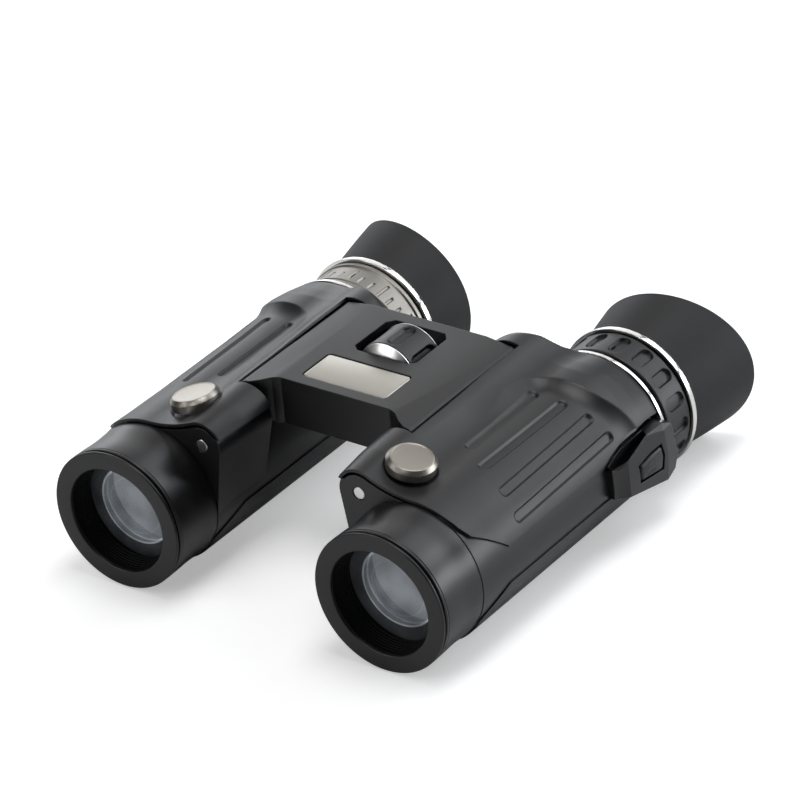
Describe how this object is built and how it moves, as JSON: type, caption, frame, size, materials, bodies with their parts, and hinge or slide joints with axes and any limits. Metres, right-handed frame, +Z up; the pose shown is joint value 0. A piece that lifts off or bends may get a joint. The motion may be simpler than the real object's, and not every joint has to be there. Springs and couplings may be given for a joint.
{
  "type": "binoculars",
  "caption": "Compact folding binoculars: hinged barrels with lenses and prisms on a bridge with a focus wheel, a diopter ring, winged eyecups and quick-release strap lugs.",
  "frame": {"origin": "on the resting plane, under the middle of the opened binoculars", "axes": "+X towards the right barrel seen from behind the objectives with the wheel on top, +Y from the objectives to the eyecups, +Z up"},
  "size_m": [0.1086, 0.1156, 0.0416],
  "materials": {
    "armour": "satin grained rubber armour",
    "eyecup_rubber": "matt soft rubber",
    "painted_housing": "satin black paint",
    "painted_tube": "satin black paint",
    "bridge_paint": "satin black paint",
    "moulded_trim": "satin black moulding",
    "blackened_metal": "matt black, anti-glare",
    "inner_alloy": "turned",
    "coated_glass": "blue-grey anti-reflection coating",
    "clear_glass": "clear",
    "nickel": "nickel, fine satin face with a bright bevel",
    "brushed_plate": "finely brushed",
    "bright_chrome": "bright",
    "pin_steel": "turned",
    "bushing_brass": "turned"
  },
  "bodies": {
    "bridge": {"bridge": "bridge_paint", "bridge_cover": "moulded_trim", "bridge_screws": "pin_steel", "nameplate": "brushed_plate", "spindle_bushings": "bushing_brass"},
    "focus_wheel": {"focus_wheel_core": "bright_chrome", "focus_wheel_grip": "armour", "focus_spindle": "pin_steel"},
    "focus_carriage": {"focus_carriage": "inner_alloy", "focus_rods": "pin_steel"},
    "diopter_ring": {"right_diopter_ring": "armour"},
    "right_ocular": {"right_ocular_cell": "blackened_metal", "right_field_lens": "clear_glass", "right_eye_lens": "coated_glass"},
    "left_barrel": {"left_objective_bezel": "moulded_trim", "left_front_tube": "painted_tube", "left_objective_lens": "coated_glass", "left_lens_retainer": "blackened_metal", "left_barrel_housing": "painted_housing", "left_prism_cage": "moulded_trim", "left_half_prism": "clear_glass", "left_roof_prism": "clear_glass", "left_eyepiece_housing": "blackened_metal", "left_ocular_cell": "blackened_metal", "left_field_lens": "clear_glass", "left_eye_lens": "coated_glass", "left_top_cover": "armour", "left_bottom_cover": "armour", "left_badge": "nickel", "left_hinge_pins": "pin_steel", "left_trim_rings": "bright_chrome", "left_strap_lug": "moulded_trim", "left_lug_screws": "pin_steel", "left_scale_ring": "bright_chrome"},
    "left_focusing_cell": {"left_focusing_cell": "inner_alloy", "left_focusing_lens": "clear_glass"},
    "left_eyecup": {"left_eyecup": "eyecup_rubber", "left_eyecup_insert": "moulded_trim"},
    "left_strap_button": {"left_strap_button": "moulded_trim"},
    "right_barrel": {"right_objective_bezel": "moulded_trim", "right_front_tube": "painted_tube", "right_objective_lens": "coated_glass", "right_lens_retainer": "blackened_metal", "right_barrel_housing": "painted_housing", "right_prism_cage": "moulded_trim", "right_half_prism": "clear_glass", "right_roof_prism": "clear_glass", "right_eyepiece_housing": "blackened_metal", "right_top_cover": "armour", "right_bottom_cover": "armour", "right_badge": "nickel", "right_hinge_pins": "pin_steel", "right_trim_rings": "bright_chrome", "right_strap_lug": "moulded_trim", "right_lug_screws": "pin_steel"},
    "right_focusing_cell": {"right_focusing_cell": "inner_alloy", "right_focusing_lens": "clear_glass"},
    "right_eyecup": {"right_eyecup": "eyecup_rubber", "right_eyecup_insert": "moulded_trim"},
    "right_strap_button": {"right_strap_button": "moulded_trim"}
  },
  "joints": [
    {"name": "right_fold", "type": "hinge", "parent": "bridge", "child": "right_barrel", "pos_m": [0.02043, -0.00785, 0.03133], "axis": [0, 1, 0], "range_deg": [0, 44]},
    {"name": "left_fold", "type": "hinge", "parent": "bridge", "child": "left_barrel", "pos_m": [-0.02043, -0.00785, 0.03133], "axis": [0, -1, 0], "range_deg": [0, 44]},
    {"name": "focus_wheel_turn", "type": "hinge", "parent": "bridge", "child": "focus_wheel", "pos_m": [0, 0.00015, 0.0337], "axis": [0, 1, 0], "range_deg": [-216, 216]},
    {"name": "focus_carriage_slide", "type": "slide", "parent": "bridge", "child": "focus_carriage", "axis": [0, 1, 0], "range_m": [-0.0024, 0.0024]},
    {"name": "left_focus_slide", "type": "slide", "parent": "left_barrel", "child": "left_focusing_cell", "axis": [0, 1, 0], "range_m": [-0.0024, 0.0024]},
    {"name": "right_focus_slide", "type": "slide", "parent": "right_barrel", "child": "right_focusing_cell", "axis": [0, 1, 0], "range_m": [-0.0024, 0.0024]},
    {"name": "diopter_turn", "type": "hinge", "parent": "right_barrel", "child": "diopter_ring", "pos_m": [0.0342, 0.03015, 0.0166], "axis": [0, 1, 0], "range_deg": [-60, 60]},
    {"name": "right_ocular_slide", "type": "slide", "parent": "right_barrel", "child": "right_ocular", "axis": [0, 1, 0], "range_m": [-0.0012, 0.0012]},
    {"name": "left_eyecup_turn", "type": "hinge", "parent": "left_barrel", "child": "left_eyecup", "pos_m": [-0.0342, 0.04215, 0.0166], "axis": [0, -1, 0], "range_deg": [-40, 40]},
    {"name": "right_eyecup_turn", "type": "hinge", "parent": "right_barrel", "child": "right_eyecup", "pos_m": [0.0342, 0.04215, 0.0166], "axis": [0, 1, 0], "range_deg": [-40, 40]},
    {"name": "left_strap_button_press", "type": "slide", "parent": "left_barrel", "child": "left_strap_button", "axis": [1, 0, 0], "range_m": [0, 0.0008], "stiffness_N_per_m": 400, "springref_m": -0.002},
    {"name": "right_strap_button_press", "type": "slide", "parent": "right_barrel", "child": "right_strap_button", "axis": [-1, 0, 0], "range_m": [0, 0.0008], "stiffness_N_per_m": 400, "springref_m": -0.002}
  ],
  "couplings": [
    {"joint": "focus_wheel_turn", "follows": "focus_carriage_slide", "rad_per_m": 1570.8},
    {"joint": "left_focus_slide", "follows": "focus_carriage_slide", "ratio": 1},
    {"joint": "right_focus_slide", "follows": "focus_carriage_slide", "ratio": 1},
    {"joint": "diopter_turn", "follows": "right_ocular_slide", "rad_per_m": 872.66}
  ]
}
